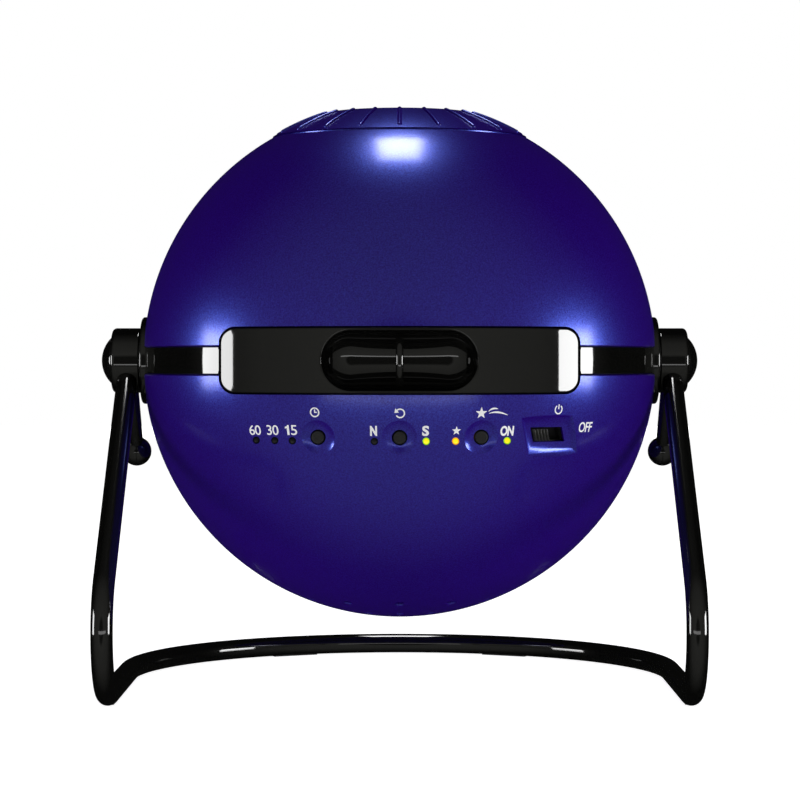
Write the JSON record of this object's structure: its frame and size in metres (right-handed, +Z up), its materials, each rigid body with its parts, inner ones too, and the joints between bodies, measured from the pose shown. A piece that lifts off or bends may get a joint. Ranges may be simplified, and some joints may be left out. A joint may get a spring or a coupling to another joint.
{
  "type": "planetarium projector",
  "caption": "Ball-shaped home planetarium projector with a lens at its top, a pull-out disc tray at the equator and control keys, tilting in a bent rod stand",
  "frame": {"origin": "on the floor under the middle of the whole object's box", "axes": "+Z up, front with the tray and keys faces -Y, tilt axis along X"},
  "size_m": [0.1668, 0.153, 0.1592],
  "materials": {
    "blue_satin": "indigo ABS with a fine metallic fleck under a satin coat",
    "gloss_black": "polished black ABS",
    "rod_black": "glossy black enamel on bent steel rod",
    "arm_black": "glossy black enamel",
    "rubber_black": "matt black rubber",
    "steel": "bright plated steel",
    "black_inner": "fine-grained black plastic",
    "heat_sink_alloy": "turned aluminium",
    "lamp_board_white": "white metal-core board",
    "lens_clear": "clear polished lens",
    "board_green": "green circuit board",
    "lamp_yellow": "yellow light pipe, lit",
    "lamp_dark": "dark light pipe",
    "gear_white": "natural white acetal",
    "star_film": "black film disc"
  },
  "bodies": {
    "stand": {"stand_rod": "rod_black", "foot_pads": "rubber_black", "hub_left": "gloss_black", "hub_right": "gloss_black", "hub_cap_left": "gloss_black", "hub_cap_right": "gloss_black", "rear_arm_left": "arm_black", "rear_arm_right": "arm_black", "arm_knob_left": "gloss_black", "arm_knob_right": "gloss_black", "pivot_shafts": "steel", "friction_washers": "steel", "retaining_clips": "steel"},
    "ball": {"top_shell": "blue_satin", "bottom_shell": "blue_satin", "mid_frame": "gloss_black", "chassis_plate": "black_inner", "lens_bridge": "black_inner", "lens_holder": "black_inner", "heat_sink": "heat_sink_alloy", "lamp_board": "lamp_board_white", "lamp_led": "lens_clear", "condenser_holder": "black_inner", "condenser_lens_small": "lens_clear", "condenser_lens_large": "lens_clear", "meteor_lamp": "black_inner", "motor": "steel", "control_board": "board_green", "tact_switches": "black_inner", "lamps_lit": "lamp_yellow", "lamps_dark": "lamp_dark", "power_switch": "black_inner", "power_inlet": "black_inner", "shell_screws": "steel", "chassis_screws": "steel"},
    "focus": {"focus_ring": "blue_satin"},
    "barrel": {"lens_barrel": "black_inner", "front_lens": "lens_clear", "middle_lens": "lens_clear", "rear_lens": "lens_clear", "lens_retainer": "black_inner"},
    "tray": {"tray_front": "gloss_black", "disc_tray": "black_inner"},
    "disc": {"disc_rotor": "gear_white", "star_disc": "star_film", "disc_clamp": "black_inner"},
    "pinion": {"drive_pinion": "gear_white"},
    "timer_key": {"timer_button": "black_inner"},
    "move_key": {"move_button": "black_inner"},
    "meteor_key": {"meteor_button": "black_inner"},
    "power_slider": {"power_knob": "black_inner"}
  },
  "joints": [
    {"name": "ball_tilt", "type": "hinge", "parent": "stand", "child": "ball", "pos_m": [0, -0.00221, 0.09], "axis": [1, 0, 0], "range_deg": [-90, 90]},
    {"name": "focus_turn", "type": "hinge", "parent": "ball", "child": "focus", "pos_m": [0, -0.00221, 0.09], "axis": [0, 0, 1], "range_deg": [-30, 30]},
    {"name": "barrel_slide", "type": "slide", "parent": "ball", "child": "barrel", "axis": [0, 0, 1], "range_m": [-0.0025, 0.0025]},
    {"name": "tray_slide", "type": "slide", "parent": "ball", "child": "tray", "axis": [0, -1, 0], "range_m": [0, 0.085]},
    {"name": "disc_spin", "type": "hinge", "parent": "tray", "child": "disc", "pos_m": [0, -0.00221, 0.09], "axis": [0, 0, 1], "continuous": true},
    {"name": "pinion_spin", "type": "hinge", "parent": "ball", "child": "pinion", "pos_m": [0, 0.03594, 0.09], "axis": [0, 0, 1], "continuous": true},
    {"name": "timer_press", "type": "slide", "parent": "ball", "child": "timer_key", "axis": [0, 1, 0], "range_m": [0, 0.0006], "stiffness_N_per_m": 600, "springref_m": -0.0005},
    {"name": "move_press", "type": "slide", "parent": "ball", "child": "move_key", "axis": [0, 1, 0], "range_m": [0, 0.0006], "stiffness_N_per_m": 600, "springref_m": -0.0005},
    {"name": "meteor_press", "type": "slide", "parent": "ball", "child": "meteor_key", "axis": [0, 1, 0], "range_m": [0, 0.0006], "stiffness_N_per_m": 600, "springref_m": -0.0005},
    {"name": "power_slide", "type": "slide", "parent": "ball", "child": "power_slider", "axis": [0.8192, 0.5736, 0], "range_m": [0, 0.004]}
  ],
  "couplings": [
    {"joint": "barrel_slide", "follows": "focus_turn", "m_per_rad": 0.0047746},
    {"joint": "pinion_spin", "follows": "disc_spin", "ratio": -5.3333}
  ]
}
